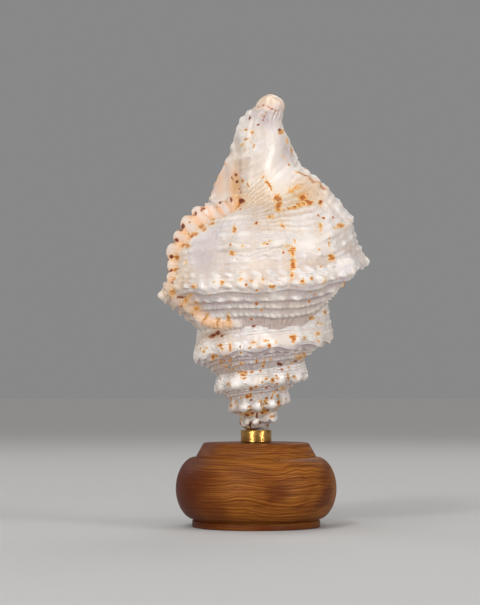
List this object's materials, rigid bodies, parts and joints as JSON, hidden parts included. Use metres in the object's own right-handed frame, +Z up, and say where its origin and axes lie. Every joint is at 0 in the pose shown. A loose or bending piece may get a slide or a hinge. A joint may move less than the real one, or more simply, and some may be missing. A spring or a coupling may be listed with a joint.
{
  "type": "knobbed triton shell",
  "caption": "Large knobbed sea shell with a frilled varix, standing apex down in a brass collar on a turned wooden base.",
  "frame": {"origin": "centre of the wooden base's underside", "axes": "+Z up along the shell's coiling axis, from the apex to the canal; -Y towards the viewer, who sees the side away from the aperture; +X to the viewer's right"},
  "size_m": [0.1381, 0.136, 0.2846],
  "materials": {
    "shell": "satin",
    "brass": "polished",
    "wood": "satin"
  },
  "bodies": {
    "root": {"shell": "shell", "brass_collar": "brass", "wood_base": "wood"}
  },
  "joints": []
}
